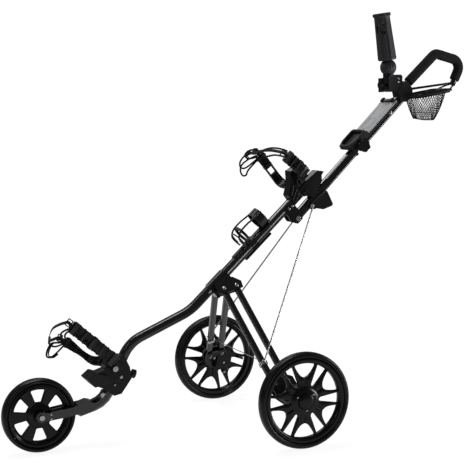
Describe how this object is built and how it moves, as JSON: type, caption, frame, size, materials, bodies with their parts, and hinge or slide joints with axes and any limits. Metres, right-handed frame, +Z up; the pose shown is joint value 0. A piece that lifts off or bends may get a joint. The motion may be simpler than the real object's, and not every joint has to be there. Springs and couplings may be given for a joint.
{
  "type": "folding golf bag push cart",
  "caption": "Folding golf bag push cart: wheels on spread legs, bag cradles with elastic straps, bottle cage, console, umbrella holder, net basket and looped handle.",
  "frame": {"origin": "on the ground under the middle of the cart's length and track", "axes": "+X from the front wheel to the handle, +Y to the right-hand rear wheel, +Z up"},
  "size_m": [1.6216, 0.741, 1.3037],
  "materials": {
    "frame_paint": "gloss",
    "black_plastic": "matte",
    "panel_plastic": "satin",
    "umbrella_plastic": "matte",
    "wheel_plastic": "satin",
    "tyre": "satin",
    "foam": "matte",
    "steel": "satin",
    "ring_metal": "satin",
    "net": "matte",
    "strap": "matte"
  },
  "bodies": {
    "lower_frame": {"lower_tube": "frame_paint", "front_fork": "frame_paint", "front_axle": "steel", "leg_bracket": "frame_paint", "bracket_ring": "ring_metal", "leg_bolt_front_left": "steel", "leg_bolt_rear_left": "steel", "leg_bolt_front_right": "steel", "leg_bolt_rear_right": "steel", "lower_bag_bracket": "black_plastic", "lower_arm_left": "black_plastic", "lower_arm_right": "black_plastic", "bracket_bolt": "steel", "upper_bag_bracket": "black_plastic", "upper_arm_left": "black_plastic", "upper_arm_right": "black_plastic", "lower_strap": "strap", "upper_strap": "strap", "fold_plate_left": "frame_paint", "fold_plate_right": "frame_paint", "fold_pivot_bolt": "steel", "fold_housing": "black_plastic", "bottle_cage": "black_plastic", "cross_cable": "steel"},
    "front_wheel": {"front_wheel_rim": "wheel_plastic", "front_wheel_tyre": "tyre"},
    "upper_frame": {"upper_tube": "frame_paint", "rod_pin": "steel", "handle_hinge_lower": "black_plastic"},
    "leg_front_left": {"leg_front_left": "frame_paint"},
    "leg_rear_left": {"leg_rear_left": "frame_paint"},
    "knuckle_left": {"knuckle_left": "black_plastic", "axle_left": "steel"},
    "rear_wheel_left": {"rear_wheel_left_rim": "wheel_plastic", "rear_wheel_left_tyre": "tyre"},
    "tie_rod_left": {"tie_rod_left": "steel"},
    "leg_front_right": {"leg_front_right": "frame_paint"},
    "leg_rear_right": {"leg_rear_right": "frame_paint"},
    "knuckle_right": {"knuckle_right": "black_plastic", "axle_right": "steel"},
    "rear_wheel_right": {"rear_wheel_right_rim": "wheel_plastic", "rear_wheel_right_tyre": "tyre"},
    "tie_rod_right": {"tie_rod_right": "steel"},
    "latch": {"latch_lever": "black_plastic"},
    "handle": {"handle_hinge_upper": "black_plastic", "handle_tube": "frame_paint", "console_tray": "black_plastic", "handle_loop": "frame_paint", "handle_grip": "foam", "handle_hub": "black_plastic", "umbrella_clamp": "black_plastic", "basket_net": "net", "basket_rim": "black_plastic"},
    "handle_knob": {"handle_knob": "black_plastic"},
    "console_lid": {"console_lid": "panel_plastic"},
    "umbrella_knob": {"umbrella_knob": "black_plastic"},
    "umbrella_holder": {"umbrella_holder": "umbrella_plastic"},
    "umbrella_button": {"umbrella_button": "umbrella_plastic"},
    "bracket_knob": {"bracket_knob": "black_plastic"},
    "brake_pedal": {"brake_pedal": "black_plastic"}
  },
  "joints": [
    {"name": "front_wheel_spin", "type": "hinge", "parent": "lower_frame", "child": "front_wheel", "pos_m": [-0.6977, 0, 0.113], "axis": [0, 1, 0], "continuous": true},
    {"name": "fold", "type": "hinge", "parent": "lower_frame", "child": "upper_frame", "pos_m": [0.17506, 0, 0.65133], "axis": [0, 1, 0], "range_deg": [0, 150]},
    {"name": "leg_front_left_swing", "type": "hinge", "parent": "lower_frame", "child": "leg_front_left", "pos_m": [-0.0957, -0.032, 0.444], "axis": [0.1071, 0.7585, -0.6428], "range_deg": [0, 58]},
    {"name": "leg_rear_left_swing", "type": "hinge", "parent": "lower_frame", "child": "leg_rear_left", "pos_m": [-0.0537, -0.032, 0.451], "axis": [0.1071, 0.7585, -0.6428], "range_deg": [0, 58]},
    {"name": "knuckle_left_pivot", "type": "hinge", "parent": "leg_front_left", "child": "knuckle_left", "pos_m": [-0.0337, -0.267, 0.177], "axis": [0.1071, 0.7585, -0.6428], "range_deg": [-58, 0]},
    {"name": "tie_rod_left_pivot", "type": "hinge", "parent": "leg_front_left", "child": "tie_rod_left", "pos_m": [-0.04918, -0.22497, 0.24627], "axis": [0.1071, 0.7585, -0.6428], "range_deg": [-34, 0]},
    {"name": "rear_wheel_left_spin", "type": "hinge", "parent": "knuckle_left", "child": "rear_wheel_left", "pos_m": [0.0213, -0.35, 0.146], "axis": [0, 1, 0], "continuous": true},
    {"name": "leg_front_right_swing", "type": "hinge", "parent": "lower_frame", "child": "leg_front_right", "pos_m": [-0.0957, 0.032, 0.444], "axis": [-0.1071, 0.7585, 0.6428], "range_deg": [0, 58]},
    {"name": "leg_rear_right_swing", "type": "hinge", "parent": "lower_frame", "child": "leg_rear_right", "pos_m": [-0.0537, 0.032, 0.451], "axis": [-0.1071, 0.7585, 0.6428], "range_deg": [0, 58]},
    {"name": "knuckle_right_pivot", "type": "hinge", "parent": "leg_front_right", "child": "knuckle_right", "pos_m": [-0.0337, 0.267, 0.177], "axis": [-0.1071, 0.7585, 0.6428], "range_deg": [-58, 0]},
    {"name": "tie_rod_right_pivot", "type": "hinge", "parent": "leg_front_right", "child": "tie_rod_right", "pos_m": [-0.04918, 0.22497, 0.24627], "axis": [-0.1071, 0.7585, 0.6428], "range_deg": [-34, 0]},
    {"name": "rear_wheel_right_spin", "type": "hinge", "parent": "knuckle_right", "child": "rear_wheel_right", "pos_m": [0.0213, 0.35, 0.146], "axis": [0, 1, 0], "continuous": true},
    {"name": "latch_lever_swing", "type": "hinge", "parent": "upper_frame", "child": "latch", "pos_m": [0.22573, 0, 0.68794], "axis": [0, 1, 0], "range_deg": [0, 30]},
    {"name": "handle_tilt", "type": "hinge", "parent": "upper_frame", "child": "handle", "pos_m": [0.39857, 0, 0.87493], "axis": [0, 1, 0], "range_deg": [-6, 18]},
    {"name": "handle_knob_turn", "type": "hinge", "parent": "handle", "child": "handle_knob", "pos_m": [0.39857, -0.05, 0.87493], "axis": [0, 1, 0], "continuous": true},
    {"name": "console_lid_open", "type": "hinge", "parent": "handle", "child": "console_lid", "pos_m": [0.42128, 0, 0.91766], "axis": [0, -1, 0], "range_deg": [0, 85]},
    {"name": "umbrella_knob_turn", "type": "hinge", "parent": "handle", "child": "umbrella_knob", "pos_m": [0.4983, 0, 1.067], "axis": [1, 0, 0], "continuous": true},
    {"name": "umbrella_tilt", "type": "hinge", "parent": "handle", "child": "umbrella_holder", "pos_m": [0.5251, 0, 1.1245], "axis": [0, 1, 0], "range_deg": [-30, 45]},
    {"name": "umbrella_button_press", "type": "slide", "parent": "umbrella_holder", "child": "umbrella_button", "axis": [0.4959, 0.866, 0.0635], "range_m": [0, 0.0025], "stiffness_N_per_m": 600},
    {"name": "bracket_knob_turn", "type": "hinge", "parent": "lower_frame", "child": "bracket_knob", "pos_m": [-0.3937, 0, 0.2049], "axis": [0.9326, 0, -0.361], "continuous": true},
    {"name": "brake_pedal_press", "type": "hinge", "parent": "knuckle_right", "child": "brake_pedal", "pos_m": [0.0523, 0.29, 0.166], "axis": [0, 1, 0], "range_deg": [0, 18]}
  ],
  "couplings": [
    {"joint": "leg_front_left_swing", "follows": "fold", "ratio": 0.374},
    {"joint": "leg_rear_left_swing", "follows": "fold", "ratio": 0.374},
    {"joint": "knuckle_left_pivot", "follows": "fold", "ratio": -0.374},
    {"joint": "tie_rod_left_pivot", "follows": "fold", "ratio": -0.213},
    {"joint": "leg_front_right_swing", "follows": "fold", "ratio": 0.374},
    {"joint": "leg_rear_right_swing", "follows": "fold", "ratio": 0.374},
    {"joint": "knuckle_right_pivot", "follows": "fold", "ratio": -0.374},
    {"joint": "tie_rod_right_pivot", "follows": "fold", "ratio": -0.213}
  ]
}
